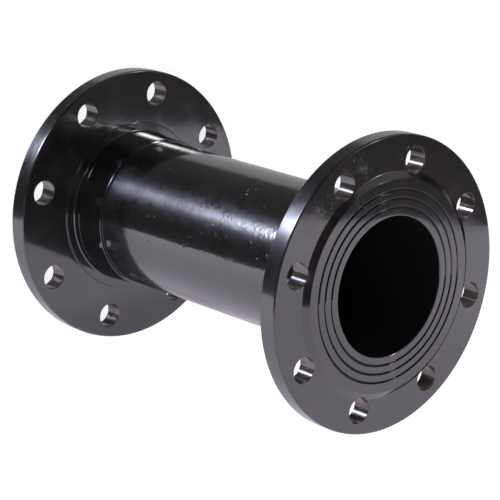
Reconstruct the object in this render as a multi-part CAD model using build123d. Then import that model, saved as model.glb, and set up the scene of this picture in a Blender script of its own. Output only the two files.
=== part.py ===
from build123d import *
import os

# Flanged pipe: a straight barrel with the same flange cast on at each end.
# It stands on its lower flange. The pipe's axis is Z, and Z = 0 is the flat
# of the lower raised face. All sizes are in millimetres and degrees.

# Barrel
length = 300.0                # face to face, over both raised faces
bore = 101.0
wall = 6.0
bore_chamfer = 0.8

# Flanges
flange_diameter = 215.0
flange_thickness = 14.0       # from the bolting face to the back
rim_chamfer = 1.2

# Bolt holes, astride both centre lines of the flange
hole_count = 8
hole_diameter = 19.0
hole_margin = 17.5            # from a hole's centre to the rim of the flange

# Raised face, with a sloping edge and turned V grooves for the gasket
face_height = 3.0
face_diameter = 154.0         # of the flat, at the top of the slope
face_slope_width = 4.8
groove_count = 3
groove_width = 1.8
groove_depth = 1.5
outer_land = 7.9              # from the last groove to the edge of the flat

# Root of the flange, where it grows out of the barrel
collar_width = 9.8            # low collar that the turned back leaves standing
collar_height = 1.4
collar_chamfer = 0.5
root_radius = 2.5             # cast curve from barrel to collar
root_flats = 3                # straight facets that stand for this curve

# Places worked out from the sizes above
bore_radius = bore / 2
barrel_radius = bore_radius + wall
flange_radius = flange_diameter / 2
face_radius = face_diameter / 2
face_root_radius = face_radius + face_slope_width
collar_radius = barrel_radius + collar_width
flange_back = face_height + flange_thickness
collar_top = flange_back + collar_height
mid_height = length / 2
bolt_circle = flange_diameter - 2 * hole_margin
groove_pitch = (face_radius - outer_land - bore_radius) / groove_count
hole_step = 360 / hole_count


def turned(section):
    """The ring that a section sweeps about the pipe's axis. A section's X is radius and its Y is height."""
    return revolve(Plane.XZ * section, Axis.Z)


def corner(section, radius, height):
    """The corner of a section at this radius and height."""
    return section.vertices().sort_by_distance((radius, height))[0]


def half_section():
    """Section of the lower half of the pipe, from mid-height down to its lower raised face."""
    root_curve = RadiusArc(
        (barrel_radius, collar_top + root_radius),
        (barrel_radius + root_radius, collar_top),
        -root_radius,
    )
    root = [root_curve @ (flat / root_flats) for flat in range(root_flats + 1)]
    section = make_face(Polyline(
        (bore_radius, mid_height),
        (barrel_radius, mid_height),
        *root,
        (collar_radius, collar_top),
        (collar_radius, flange_back),
        (flange_radius, flange_back),
        (flange_radius, face_height),
        (face_root_radius, face_height),
        (face_radius, 0),
        (bore_radius, 0),
        close=True,
    ))
    section = chamfer(corner(section, collar_radius, collar_top), collar_chamfer)
    section = chamfer(corner(section, flange_radius, flange_back), rim_chamfer)
    section = chamfer(corner(section, flange_radius, face_height), rim_chamfer)
    return chamfer(corner(section, bore_radius, 0), bore_chamfer)


def gasket_grooves():
    """Rings with a V section, evenly spaced outwards from the edge of the bore."""
    rings = []
    for turn in range(1, groove_count + 1):
        middle = bore_radius + groove_pitch * turn
        tooth = make_face(Polyline(
            (middle - groove_width / 2, 0),
            (middle, groove_depth),
            (middle + groove_width / 2, 0),
            close=True,
        ))
        rings.append(turned(tooth))
    return rings


def bolt_holes():
    """Drills for the lower flange, on the bolt circle."""
    drill = Pos(0, 0, face_height + flange_thickness / 2) * Cylinder(hole_diameter / 2, flange_thickness * 2)
    return PolarLocations(bolt_circle / 2, hole_count, start_angle=hole_step / 2) * drill


lower_section = half_section()
upper_section = mirror(lower_section, about=Plane.XZ.offset(-mid_height))
blank = turned(lower_section + upper_section)
lower_cuts = gasket_grooves() + bolt_holes()
upper_cuts = [mirror(cut, about=Plane.XY.offset(mid_height)) for cut in lower_cuts]
flanged_pipe = blank - lower_cuts - upper_cuts

os.makedirs("parts", exist_ok=True)
export_step(flanged_pipe, "parts/flanged_pipe.step")
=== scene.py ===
import math
import bpy
import numpy as np
from mathutils import Matrix, Vector


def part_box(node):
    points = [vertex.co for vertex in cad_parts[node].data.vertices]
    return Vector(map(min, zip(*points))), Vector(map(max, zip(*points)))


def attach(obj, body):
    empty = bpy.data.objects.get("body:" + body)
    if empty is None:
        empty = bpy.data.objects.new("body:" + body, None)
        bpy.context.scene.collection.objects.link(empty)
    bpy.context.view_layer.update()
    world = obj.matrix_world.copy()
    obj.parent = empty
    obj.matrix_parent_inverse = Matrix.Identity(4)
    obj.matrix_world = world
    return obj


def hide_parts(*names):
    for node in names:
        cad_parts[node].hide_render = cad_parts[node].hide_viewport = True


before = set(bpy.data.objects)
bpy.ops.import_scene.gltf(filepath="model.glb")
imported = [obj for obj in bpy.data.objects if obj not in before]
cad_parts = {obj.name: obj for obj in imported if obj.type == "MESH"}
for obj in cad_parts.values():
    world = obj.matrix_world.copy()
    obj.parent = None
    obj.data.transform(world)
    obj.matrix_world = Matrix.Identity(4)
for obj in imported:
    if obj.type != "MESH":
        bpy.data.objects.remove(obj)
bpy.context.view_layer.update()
lowCorner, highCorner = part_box("flanged_pipe")
print("frame loaded, pipe stands", round((highCorner.z - lowCorner.z) * 1000, 1), "mm tall")

mm = 0.001                     # metres


# shader nodes written as expressions

class Wire:
    # one output socket, so that masks can be added and multiplied in plain Python

    def __init__(self, socket, sheet):
        self.socket = socket
        self.sheet = sheet

    def maths(self, operation, first, second):
        return self.sheet.node("ShaderNodeMath", {"operation": operation}, {0: first, 1: second})

    def __add__(self, other):
        return self.maths("ADD", self, other)

    def __radd__(self, other):
        return self.maths("ADD", other, self)

    def __sub__(self, other):
        return self.maths("SUBTRACT", self, other)

    def __rsub__(self, other):
        return self.maths("SUBTRACT", other, self)

    def __mul__(self, other):
        return self.maths("MULTIPLY", self, other)

    def __rmul__(self, other):
        return self.maths("MULTIPLY", other, self)

    def __pow__(self, other):
        return self.maths("POWER", self, other)


class NodeSheet:
    # a node tree, filled through one method

    def __init__(self, owner):
        owner.use_nodes = True
        self.tree = owner.node_tree
        self.tree.nodes.clear()

    def node(self, kind, settings, sockets, output=0):
        made = self.tree.nodes.new(kind)
        for name, value in settings.items():
            setattr(made, name, value)
        for name, value in sockets.items():
            if isinstance(value, Wire):
                self.tree.links.new(value.socket, made.inputs[name])
            else:
                made.inputs[name].default_value = value
        return Wire(made.outputs[output], self) if len(made.outputs) else None

    def noise(self, place, scale, detail, roughness=0.5):
        settings = {"noise_dimensions": "3D"}
        sockets = {"Vector": place, "Scale": scale, "Detail": detail, "Roughness": roughness}
        return self.node("ShaderNodeTexNoise", settings, sockets, "Fac")

    def smooth(self, value, low, high):
        settings = {"interpolation_type": "SMOOTHSTEP"}
        sockets = {"Value": value, "From Min": low, "From Max": high}
        return self.node("ShaderNodeMapRange", settings, sockets)

    def along(self, vector, axis):
        settings = {"operation": "DOT_PRODUCT"}
        return self.node("ShaderNodeVectorMath", settings, {0: vector, 1: axis}, "Value")

    def mixed(self, factor, first, second):
        return self.node("ShaderNodeMix", {"data_type": "RGBA"}, {0: factor, 6: first, 7: second}, 2)

    def ray(self, kind):
        return self.node("ShaderNodeLightPath", {}, {}, kind)


# the pipe: turned from one closed outline, then drilled

pipe = {
    "boreRadius": 50.5,
    "barrelRadius": 56.5,
    "flangeRadius": 107.5,
    "faceHeight": 3.0,         # raised face above the bolting face
    "flangeBack": 17.0,
    "faceRadius": 77.0,        # flat of the raised face
    "faceFoot": 81.8,          # foot of its slope
    "grooveRadii": (56.7, 62.9, 69.1),
    "grooveWidth": 1.8,
    "grooveDepth": 1.5,
    "collarRadius": 66.3,
    "collarTop": 18.4,
    "neckFoot": 59.4,          # radius of the flange's short neck where it leaves the collar
    "neckSeam": (59.3, 23.8),  # radius and height of the line where the cast root meets the neck
    "seamStep": (0.2, 0.3),    # how far in and on the line's second bend lies
    "neckEnd": 58.7,           # its radius and height where it steps down to the barrel
    "neckTop": 49.5,
    "boltCircle": 90.0,        # radius
    "boltHoles": 8,
    "holeRadius": 9.5,
    "aroundPipe": 320,         # segments
    "aroundHole": 56,
    "drillPast": 4.0,          # how far a drill stands out of the flange
    "drillLead": 0.03,         # its straight before a mouth's rounding begins
    "mouthBends": (12, 25, 38, 51, 64, 77, 90),    # degrees round that rounding
    "arcStep": 15.0,           # degrees of an edge's curve per segment
}

edges = {                      # roundings that paint and casting leave, mm
    "bore": 0.9,
    "faceEdge": 0.7,
    "faceFoot": 1.4,
    "rim": 1.3,
    "grooveLip": 0.3,
    "grooveBottom": 0.25,
    "collarFoot": 0.5,
    "collarEdge": 0.4,
    "neckFoot": 1.3,
    "neckSeam": 0.4,
    "neckEdge": 0.5,
    "barrelFoot": 0.35,
    "holeMouth": 0.3,
}


def roundedLine(corners):
    # corners are (radius, height, rounding) in mm, and both ends stay as they are
    line = [np.array(corners[0][:2], float)]
    for before, here, after in zip(corners, corners[1:], corners[2:]):
        corner = np.array(here[:2], float)
        back = np.array(before[:2], float) - corner
        ahead = np.array(after[:2], float) - corner
        back, ahead = back / np.linalg.norm(back), ahead / np.linalg.norm(ahead)
        half = math.acos(np.clip(back @ ahead, -1, 1)) / 2
        middle = (back + ahead) / np.linalg.norm(back + ahead)
        centre = corner + middle * here[2] / math.sin(half)
        start = corner + back * here[2] / math.tan(half) - centre
        end = corner + ahead * here[2] / math.tan(half) - centre
        sweep = math.atan2(start[0] * end[1] - start[1] * end[0], start @ end)
        steps = max(2, round(abs(math.degrees(sweep)) / pipe["arcStep"]))
        for step in range(steps + 1):
            turn = sweep * step / steps
            spin = np.array([[math.cos(turn), -math.sin(turn)], [math.sin(turn), math.cos(turn)]])
            line.append(centre + spin @ start)
    line.append(np.array(corners[-1][:2], float))
    return line


def pipeOutline(length):
    middle = length / 2
    seam, seamStep = pipe["neckSeam"], pipe["seamStep"]
    corners = [(pipe["boreRadius"], middle, 0), (pipe["boreRadius"], 0, edges["bore"])]
    for groove in pipe["grooveRadii"]:
        half = pipe["grooveWidth"] / 2
        corners += [
            (groove - half, 0, edges["grooveLip"]),
            (groove, pipe["grooveDepth"], edges["grooveBottom"]),
            (groove + half, 0, edges["grooveLip"]),
        ]
    corners += [
        (pipe["faceRadius"], 0, edges["faceEdge"]),
        (pipe["faceFoot"], pipe["faceHeight"], edges["faceFoot"]),
        (pipe["flangeRadius"], pipe["faceHeight"], edges["rim"]),
        (pipe["flangeRadius"], pipe["flangeBack"], edges["rim"]),
        (pipe["collarRadius"], pipe["flangeBack"], edges["collarFoot"]),
        (pipe["collarRadius"], pipe["collarTop"], edges["collarEdge"]),
        (pipe["neckFoot"], pipe["collarTop"], edges["neckFoot"]),
        (*seam, edges["neckSeam"]),
        (seam[0] - seamStep[0], seam[1] + seamStep[1], edges["neckSeam"]),
        (pipe["neckEnd"], pipe["neckTop"], edges["neckEdge"]),
        (pipe["barrelRadius"], pipe["neckTop"], edges["barrelFoot"]),
        (pipe["barrelRadius"], middle, 0),
    ]
    lower = roundedLine(corners)
    upper = [np.array([radius, length - height]) for radius, height in lower[::-1]]
    return lower + upper[1:-1]


def turned(line, segments, closed):
    # sweeps an outline of (radius, height) about Z, and caps it where it isn't closed
    line = np.array(line)
    angles = np.arange(segments) * 2 * math.pi / segments
    verts = np.stack([
        np.outer(line[:, 0], np.cos(angles)),
        np.outer(line[:, 0], np.sin(angles)),
        np.repeat(line[:, 1:], segments, axis=1),
    ], axis=-1).reshape(-1, 3)
    rings = len(line) if closed else len(line) - 1
    faces = []
    for ring in range(rings):
        low, high = ring * segments, (ring + 1) % len(line) * segments
        for step in range(segments):
            following = (step + 1) % segments
            faces.append((low + step, low + following, high + following, high + step))
    if not closed:
        last = (len(line) - 1) * segments
        faces.append(tuple(range(segments))[::-1])
        faces.append(tuple(range(last, last + segments)))
    return verts, faces


def drills(length):
    # one cutter for every bolt hole, widened at both mouths so that their edges come out round
    mouth = edges["holeMouth"]
    front, back = pipe["faceHeight"], pipe["flangeBack"]
    wide, past, lead = pipe["holeRadius"] + mouth, pipe["drillPast"], pipe["drillLead"]
    bends = np.radians(pipe["mouthBends"])
    flare = [(wide - mouth * math.sin(bend), mouth * (1 - math.cos(bend))) for bend in bends]
    line = [(wide, front - past), (wide, front - lead)]
    line += [(radius, front + height) for radius, height in flare]
    line += [(radius, back - height) for radius, height in flare[::-1]]
    line += [(wide, back + lead), (wide, back + past)]
    one, oneFaces = turned(line, pipe["aroundHole"], False)
    verts, faces = [], []
    for hole in range(pipe["boltHoles"]):
        angle = (hole + 0.5) * 2 * math.pi / pipe["boltHoles"]     # astride both centre lines
        shift = np.array([math.cos(angle), math.sin(angle), 0]) * pipe["boltCircle"]
        placed = one + shift
        for ends in (placed, placed * [1, 1, -1] + [0, 0, length]):
            base = sum(len(part) for part in verts)
            flipped = ends is not placed
            verts.append(ends)
            for face in oneFaces:
                face = face[::-1] if flipped else face
                faces.append(tuple(base + corner for corner in face))
    return np.concatenate(verts), faces


def meshObject(name, verts, faces):
    mesh = bpy.data.meshes.new(name)
    mesh.from_pydata((np.array(verts) * mm).tolist(), [], faces)
    made = bpy.data.objects.new(name, mesh)
    bpy.context.scene.collection.objects.link(made)
    return made


def applied(target):
    # the mesh as its modifiers leave it
    depsgraph = bpy.context.evaluated_depsgraph_get()
    mesh = bpy.data.meshes.new_from_object(target.evaluated_get(depsgraph))
    target.modifiers.clear()
    target.data = mesh


def makePipe():
    length = (highCorner.z - lowCorner.z) / mm
    casting = meshObject("painted_casting", *turned(pipeOutline(length), pipe["aroundPipe"], True))
    cutter = meshObject("drills", *drills(length))
    cut = casting.modifiers.new("boltHoles", "BOOLEAN")
    cut.object = cutter
    cut.operation = "DIFFERENCE"
    cut.solver = "EXACT"
    applied(casting)
    bpy.data.objects.remove(cutter)
    casting.data.shade_smooth()
    flatten = casting.modifiers.new("flatFacesStayFlat", "WEIGHTED_NORMAL")
    flatten.mode = "FACE_AREA"
    flatten.weight = 100
    applied(casting)
    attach(casting, "root")
    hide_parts("flanged_pipe")
    return casting


casting = makePipe()
counts = len(casting.data.vertices), len(casting.data.polygons)
print("pipe turned and drilled: %d vertices, %d faces" % counts)


# gloss black paint, one finish for each way the casting was worked under it

# a noise is its scale per metre, detail and roughness, and ends say where its mask starts and is full
paint = {
    "wave": (55, 1),           # slow waves left by the brush and the casting
    "waveHeight": 0.00005,     # metres, like every height here
    "patch": (14, 2),          # patches where the peel shows most
    "patchEnds": (0.47, 0.62),
    "patchShare": 0.55,        # the patches' part in the peel's strength, beside the coarser upper barrel's
    "coarseEnds": (0.10, 0.17),    # heights between which the barrel's paint turns coarser
    "coarseDullness": 0.07,
    "peelDetail": 2,
    "smoothShare": 0.18,       # peel left on the smoothest paint
    "mottle": (120, 3, 0.55),  # uneven haze
    "mottleEnds": (0.32, 0.68),
    "mottleLeast": 0.80,
    "mottleMore": 0.40,
    "stain": (45, 5, 0.65),
    "stainEnds": (0.46, 0.70),
    "cloud": (28, 6, 0.68),    # duller clouds in the gloss
    "cloudEnds": (0.42, 0.74),
    "wisps": (210, 6, 0.72),   # rubbed streaks
    "wispEnds": (0.50, 0.66),
    "rubbedColour": (0.055, 0.053, 0.052, 1),
    "rubbedHaze": 0.32,
    "pimpleScale": 165,
    "pimpleHeight": 0.00025,
    "brushedTurn": 0.25,       # the strokes run round the pipe, so the haze spreads along it
}

# places where the upper face is rubbed dull: middle and reach, mm
scuffs = (
    (-52, -88, 297, 15),
    (-53, -74, 297, 11),
    (-18, -88, 297, 14),
    (-7, -90, 297, 12),
    (-28, -62, 300, 10),
    (-84, -44, 297, 10),
)

# peel and grain: scale per metre and height in metres; haze: share and roughness of a duller gloss
finishes = {
    "barrel": {
        "black": (0.0042, 0.0038, 0.0044, 1), "stain": (0.010, 0.008, 0.009, 1), "ior": 1.9,
        "roughness": 0.07, "cloud": 0.02, "haze": (0.26, 0.275), "brushed": 0.60,
        "peel": (340, 0.000130), "grain": (900, 0.000012), "pimple": 0.12,
    },
    "necks": {
        "black": (0.0042, 0.0038, 0.0044, 1), "stain": (0.010, 0.008, 0.009, 1), "ior": 1.9,
        "roughness": 0.07, "cloud": 0.02, "haze": (0.05, 0.30), "brushed": 0.0,
        "peel": (300, 0.000020), "grain": (900, 0.000008), "pimple": 0.08,
    },
    "faces": {
        "black": (0.0042, 0.0038, 0.0042, 1), "stain": (0.014, 0.009, 0.009, 1), "ior": 1.9,
        "roughness": 0.06, "cloud": 0.10, "haze": (0.15, 0.35), "brushed": 0.0,
        "peel": (300, 0.000010), "grain": (1100, 0.000003), "pimple": 0.035, "scuffs": scuffs,
    },
    "backs": {
        "black": (0.0042, 0.0040, 0.0042, 1), "stain": (0.012, 0.010, 0.009, 1), "ior": 1.9,
        "roughness": 0.07, "cloud": 0.05, "haze": (0.12, 0.35), "brushed": 0.0,
        "peel": (300, 0.000016), "grain": (1000, 0.000008), "pimple": 0.09,
    },
    "rims": {
        "black": (0.0042, 0.0040, 0.0044, 1), "stain": (0.012, 0.010, 0.009, 1), "ior": 1.9,
        "roughness": 0.07, "cloud": 0.05, "haze": (0.52, 0.26), "brushed": 0.5,
        "peel": (330, 0.000022), "grain": (1100, 0.000008), "pimple": 0.09,
    },
    # the bolt holes' lighter brownish colours are partly thin paint over the drilled iron and partly a
    # painted reflection of the bright surroundings in their walls
    "boltHoles": {
        "black": (0.035, 0.024, 0.023, 1), "stain": (0.140, 0.100, 0.095, 1), "ior": 1.9,
        "roughness": 0.10, "cloud": 0.08, "haze": (0.25, 0.35), "brushed": 0.0,
        "peel": (500, 0.000012), "grain": (1500, 0.000006), "pimple": 0.0,
    },
    "bore": {
        "black": (0.0045, 0.0040, 0.0042, 1), "stain": (0.005, 0.0045, 0.0045, 1), "ior": 1.25,
        "roughness": 0.50, "cloud": 0.10, "haze": (0.0, 0.5), "brushed": 0.0,
        "peel": (300, 0.000020), "grain": (1200, 0.000010), "pimple": 0.12,
    },
}


def rubbedMask(sheet, place, spots):
    # soft round each spot
    mask = 0
    for x, y, z, reach in spots:
        spot = (x * mm, y * mm, z * mm)
        away = sheet.node("ShaderNodeVectorMath", {"operation": "DISTANCE"}, {0: place, 1: spot}, "Value")
        mask = sheet.smooth(away, reach * mm, 0) + mask
    return mask


def makePaint(name, finish):
    material = bpy.data.materials.new(name + "_blackPaint")
    sheet = NodeSheet(material)
    place = sheet.node("ShaderNodeTexCoord", {}, {}, "Object")
    stained = sheet.smooth(sheet.noise(place, *paint["stain"]), *paint["stainEnds"])
    colour = sheet.mixed(stained, finish["black"], finish["stain"])
    cloud = sheet.smooth(sheet.noise(place, *paint["cloud"]), *paint["cloudEnds"])
    roughness = finish["roughness"] + finish["cloud"] * cloud
    patch = sheet.smooth(sheet.noise(place, *paint["patch"]), *paint["patchEnds"])
    coarse = sheet.smooth(sheet.along(place, (0, 0, 1)), *paint["coarseEnds"])
    coarse = paint["patchShare"] * patch + (1 - paint["patchShare"]) * coarse
    rough = paint["smoothShare"] + (1 - paint["smoothShare"]) * coarse
    height = sheet.noise(place, *paint["wave"]) * paint["waveHeight"]
    for scale, size in (finish["peel"], finish["grain"]):
        height = height + sheet.noise(place, scale, paint["peelDetail"]) * size * rough
    if finish["pimple"]:
        cells = sheet.node(
            "ShaderNodeTexVoronoi", {"feature": "F1"},
            {"Vector": place, "Scale": paint["pimpleScale"], "Randomness": 1}, "Distance",
        )
        height = height + sheet.smooth(cells, finish["pimple"], 0) * paint["pimpleHeight"]
    bump = sheet.node("ShaderNodeBump", {}, {"Strength": 1, "Distance": 1, "Height": height}, "Normal")
    share, dullness = finish["haze"]
    mottle = sheet.smooth(sheet.noise(place, *paint["mottle"]), *paint["mottleEnds"])
    share = share * (paint["mottleLeast"] + paint["mottleMore"] * mottle)
    dullness = dullness + paint["coarseDullness"] * coarse
    if "scuffs" in finish:
        wisps = sheet.smooth(sheet.noise(place, *paint["wisps"]), *paint["wispEnds"])
        rubbed = rubbedMask(sheet, place, finish["scuffs"]) * wisps
        colour = sheet.mixed(rubbed, colour, paint["rubbedColour"])
        share = share + paint["rubbedHaze"] * rubbed
    gloss = {"Base Color": colour, "Roughness": roughness, "IOR": finish["ior"], "Normal": bump}
    clear = sheet.node("ShaderNodeBsdfPrincipled", {}, gloss)
    turn = paint["brushedTurn"]
    brushed = {"Roughness": dullness, "Anisotropic": finish["brushed"], "Anisotropic Rotation": turn}
    dull = sheet.node("ShaderNodeBsdfPrincipled", {}, gloss | brushed)
    shader = sheet.node("ShaderNodeMixShader", {}, {0: share, 1: clear, 2: dull})
    sheet.node("ShaderNodeOutputMaterial", {}, {"Surface": shader})
    return material


borders = {                    # how far a finish reaches past the size that it is named after, mm
    "holes": 0.1,
    "rimShare": 0.8,           # of the rim's rounding
    "bore": 0.05,
    "faces": 0.5,
    "backs": 0.2,
    "barrel": 0.3,
}


def finishOf(corners, length):
    # which finish a face of the casting gets, from where its corners lie in mm
    centre = sum(corners, Vector()) / len(corners)
    radius = math.hypot(centre.x, centre.y)
    height = min(centre.z, length - centre.z)
    step = 2 * math.pi / pipe["boltHoles"]
    turn = (math.floor(math.atan2(centre.y, centre.x) / step) + 0.5) * step
    hole = Vector((math.cos(turn), math.sin(turn))) * pipe["boltCircle"]
    fromHole = max((corner.to_2d() - hole).length for corner in corners)
    if fromHole < pipe["holeRadius"] + edges["holeMouth"] + borders["holes"]:
        return "boltHoles"
    if radius > pipe["flangeRadius"] - borders["rimShare"] * edges["rim"]:
        return "rims"
    if radius < pipe["boreRadius"] + borders["bore"]:
        return "bore"
    if height < pipe["faceHeight"] + borders["faces"]:
        return "faces"
    if height < pipe["collarTop"] + borders["backs"]:
        return "backs"
    if radius > pipe["barrelRadius"] + borders["barrel"]:
        return "necks"
    return "barrel"


def paintPipe():
    length = (highCorner.z - lowCorner.z) / mm
    names = list(finishes)
    casting.data.materials.clear()
    for name in names:
        casting.data.materials.append(makePaint(name, finishes[name]))
    places = [vertex.co / mm for vertex in casting.data.vertices]
    for face in casting.data.polygons:
        face.material_index = names.index(finishOf([places[corner] for corner in face.vertices], length))


paintPipe()
print("paint mixed:", ", ".join(finishes))


# camera, at the photograph's angle

camera = {
    "place": (0.27918, -1.05183, 1.25099),
    "aim": (0.00346, 0.00851, 0.15000),
    "top": (-0.86616, -0.45031, -0.21677),
    "lens": 149.44,
    "sensor": 36.0,
    "reach": 20.0,
}


def makeCamera():
    data = bpy.data.cameras.new("camera")
    data.lens = camera["lens"]
    data.sensor_width = camera["sensor"]
    data.clip_end = camera["reach"]
    made = bpy.data.objects.new("camera", data)
    bpy.context.scene.collection.objects.link(made)
    place = Vector(camera["place"])
    back = (place - Vector(camera["aim"])).normalized()
    right = Vector(camera["top"]).cross(back).normalized()
    top = back.cross(right)
    made.matrix_world = Matrix.Translation(place) @ Matrix((right, top, back)).transposed().to_4x4()
    bpy.context.scene.camera = made


makeCamera()
print("camera placed")


# studio. The photograph was taken with the pipe lying on its side, so the white table that it mirrors
# stands upright here, beside the pipe.

studio = {
    "up": (-0.772, -0.636, 0.0),       # the photograph's up
    "side": (0.636, -0.772, 0.0),      # towards the photographer's left
    "tableDrop": -0.1085,              # the table under the lying pipe, along up
    "tableEdge": ((1.15, -0.48), (1.15, -0.046), (0.235, 0.64), (-0.173, 0.946), (-0.44, 0.585),
                  (-0.85, 0.033), (-0.85, -0.48)),
    "tableColour": (1.04, 0.97, 1.13, 1),
    "room": (0.085, 0.082, 0.084, 1),  # behind the far flange
    "roomAhead": (0.018, 0.017, 0.018, 1),     # on the photographer's side
    "backdrop": (0.68, 0.66, 0.69, 1),
    "roomTurn": (-0.5, 0.1),           # along the pipe, where room gives way to roomAhead
    "backdropUp": (0.54, 0.46),        # where the backdrop starts and is full, each way
    "backdropSide": (0.0, -0.15),
    "backdropAlong": (0.1, -0.1),
    "stripFront": (0.0, 0.1),          # keeps a strip on its own side of the pipe
    "plainLevel": 0.40,
}

softboxes = {                          # way: side, up, along; spread in degrees
    "front": {"way": (0.60, 0.10, 0.75), "colour": (1.0, 0.98, 1.0), "level": 0.21, "spread": (10, 26)},
    "beyond": {"way": (-0.62, -0.06, 0.75), "colour": (1.0, 0.93, 0.96), "level": 0.075, "spread": (16, 34)},
    "corner": {"way": (-0.35, 0.55, -0.76), "colour": (1.0, 0.97, 0.98), "level": 0.05, "spread": (10, 26)},
    "ceiling": {"way": (-0.61, 0.54, 0.58), "colour": (1.0, 0.95, 0.97), "level": 0.4, "spread": (12, 30)},
}

# long lamps beside the pipe; ends: where each starts and is full along it, and where it fades and stops
strips = {
    "overhead": {"way": (0.70, 0.714, 0), "colour": (0.84, 0.89, 1.14), "level": 64.0, "sharpness": 150,
                 "ends": ((-0.735, -0.58), (0.10, -0.25))},
    "right": {"way": (-0.948, 0.318, 0), "colour": (1.0, 0.98, 1.0), "level": 50.0, "sharpness": 210,
              "ends": ((0.725, 0.738), (0.760, 0.756))},
}


def inStudio(side, up, along):
    return Vector(studio["side"]) * side + Vector(studio["up"]) * up + Vector((0, 0, along))


tableGlow = {
    "level": 0.95,
    "brighter": {                      # gain, then where it starts and is full, by side
        "left": (0.70, 0.0, 0.60),
        "right": (0.30, -0.12, -0.30),
        "underPipe": (0.08, 0.10, 0.06),       # and all to the right of it
    },
    "shadows": {                       # depth, then where it starts and is full: right, left and along
        "barrel": (0.30, (-0.20, -0.06), (0.04, 0.01), (0.13, 0.05)),
        "farFlange": (0.55, (-0.10, -0.04), (0.06, 0.02), (0.02, -0.005)),
    },
    "secondLoss": 0.70,                # dims what the paint mirrors twice, which comes out too bright
}


def makeTable():
    corners = [inStudio(side, studio["tableDrop"], along) for side, along in studio["tableEdge"]]
    mesh = bpy.data.meshes.new("mirrored_table")
    mesh.from_pydata([tuple(corner) for corner in corners], [], [tuple(range(len(corners)))])
    table = bpy.data.objects.new("mirrored_table", mesh)
    bpy.context.scene.collection.objects.link(table)
    for seenBy in ("camera", "diffuse", "shadow", "transmission", "volume_scatter"):
        setattr(table, "visible_" + seenBy, False)
    material = bpy.data.materials.new("whiteTable")
    material.cycles.emission_sampling = "NONE"
    sheet = NodeSheet(material)
    place = sheet.node("ShaderNodeTexCoord", {}, {}, "Object")
    side = sheet.along(place, studio["side"])
    along = sheet.along(place, (0, 0, 1))
    level, kept = tableGlow["level"], 1
    for gain, start, full in tableGlow["brighter"].values():
        level = level + gain * sheet.smooth(side, start, full)
    for depth, right, left, ends in tableGlow["shadows"].values():
        shadow = depth * sheet.smooth(side, *right) * sheet.smooth(side, *left) * sheet.smooth(along, *ends)
        kept = kept - shadow
    again = sheet.smooth(sheet.ray("Glossy Depth"), 1, 2)
    level = level * kept * (1 - tableGlow["secondLoss"] * again)
    glow = sheet.node("ShaderNodeEmission", {}, {"Color": studio["tableColour"], "Strength": level})
    sheet.node("ShaderNodeOutputMaterial", {}, {"Surface": glow})
    table.data.materials.append(material)


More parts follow.
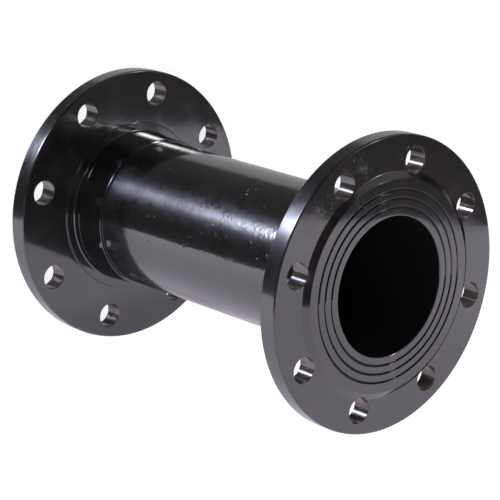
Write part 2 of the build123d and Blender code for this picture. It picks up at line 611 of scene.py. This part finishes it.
def makeWorld():
    world = bpy.data.worlds.new("studio")
    bpy.context.scene.world = world
    world.cycles.sampling_method = "NONE"
    sheet = NodeSheet(world)
    way = sheet.node("ShaderNodeTexCoord", {}, {}, "Generated")
    up = sheet.along(way, studio["up"])
    side = sheet.along(way, studio["side"])
    along = sheet.along(way, (0, 0, 1))
    behind = sheet.smooth(up, *studio["backdropUp"]) * sheet.smooth(side, *studio["backdropSide"])
    behind = behind * sheet.smooth(along, *studio["backdropAlong"])
    mirrored = sheet.mixed(sheet.smooth(along, *studio["roomTurn"]), studio["room"], studio["roomAhead"])
    mirrored = sheet.mixed(behind, mirrored, studio["backdrop"])
    for softbox in softboxes.values():
        towards = sheet.along(way, inStudio(*softbox["way"]).normalized())
        core, rim = (math.cos(math.radians(angle)) for angle in softbox["spread"])
        shine = softbox["level"] * sheet.smooth(towards, rim, core)
        glow = sheet.node("ShaderNodeVectorMath", {"operation": "SCALE"}, {0: softbox["colour"], 3: shine})
        mirrored = sheet.node("ShaderNodeVectorMath", {"operation": "ADD"}, {0: mirrored, 1: glow})
    for strip in strips.values():
        towards = inStudio(*strip["way"]).normalized()
        across = sheet.along(way, towards.cross(Vector((0, 0, 1))))
        start, stop = strip["ends"]
        shine = (1 - across * across) ** strip["sharpness"] * strip["level"]
        shine = shine * sheet.smooth(sheet.along(way, towards), *studio["stripFront"])
        shine = shine * sheet.smooth(along, *start) * sheet.smooth(along, *stop)
        glow = sheet.node("ShaderNodeVectorMath", {"operation": "SCALE"}, {0: strip["colour"], 3: shine})
        mirrored = sheet.node("ShaderNodeVectorMath", {"operation": "ADD"}, {0: mirrored, 1: glow})
    level = studio["plainLevel"]
    light = sheet.mixed(sheet.ray("Is Glossy Ray"), (level, level, level, 1), mirrored)
    seen = sheet.node("ShaderNodeMath", {"operation": "MAXIMUM"}, {
        0: sheet.ray("Is Camera Ray"), 1: sheet.ray("Is Transmission Ray"),
    })
    light = sheet.mixed(seen, light, (1, 1, 1, 1))
    sky = sheet.node("ShaderNodeBackground", {}, {"Color": light, "Strength": 1})
    sheet.node("ShaderNodeOutputWorld", {}, {"Surface": sky})


lamps = {
    "key": {"place": (1.3, -0.9, 1.7), "size": 1.0, "power": 26},
    "fill": {"place": (-1.5, -0.5, 1.3), "size": 1.3, "power": 14},
}


def makeLamps():
    for name, lamp in lamps.items():
        data = bpy.data.lights.new(name, "AREA")
        data.size = lamp["size"]
        data.energy = lamp["power"]
        made = bpy.data.objects.new(name, data)
        bpy.context.scene.collection.objects.link(made)
        made.location = lamp["place"]
        away = Vector(lamp["place"]) - (lowCorner + highCorner) / 2
        made.rotation_euler = away.to_track_quat("Z", "Y").to_euler()
        made.visible_camera = False
        made.visible_glossy = False


floor = {"size": 12.0, "drop": 0.0001, "paper": (0.3, 0.3, 0.3, 1), "whiteness": 0.84}


def makeFloor():
    half = floor["size"] / 2
    mesh = bpy.data.meshes.new("floor")
    corners = [(-half, -half, 0), (half, -half, 0), (half, half, 0), (-half, half, 0)]
    mesh.from_pydata(corners, [], [(0, 1, 2, 3)])
    made = bpy.data.objects.new("floor", mesh)
    bpy.context.scene.collection.objects.link(made)
    made.location.z = -floor["drop"]
    made.visible_glossy = False        # the paint mirrors the table beside the pipe, not the paper under it
    material = bpy.data.materials.new("whitePaper")
    material.cycles.emission_sampling = "NONE"
    sheet = NodeSheet(material)
    lit = sheet.node("ShaderNodeBsdfDiffuse", {}, {"Color": floor["paper"]})
    seen = sheet.node("ShaderNodeMath", {"operation": "MAXIMUM"}, {
        0: sheet.ray("Is Camera Ray"), 1: sheet.ray("Is Transmission Ray"),
    })
    glow = {"Color": (1, 1, 1, 1), "Strength": seen * floor["whiteness"]}
    white = sheet.node("ShaderNodeEmission", {}, glow)
    paper = sheet.node("ShaderNodeAddShader", {}, {0: lit, 1: white})
    sheet.node("ShaderNodeOutputMaterial", {}, {"Surface": paper})
    made.data.materials.append(material)


makeTable()
makeWorld()
makeLamps()
makeFloor()
bpy.context.scene.view_settings.view_transform = "Standard"
print("studio lit")
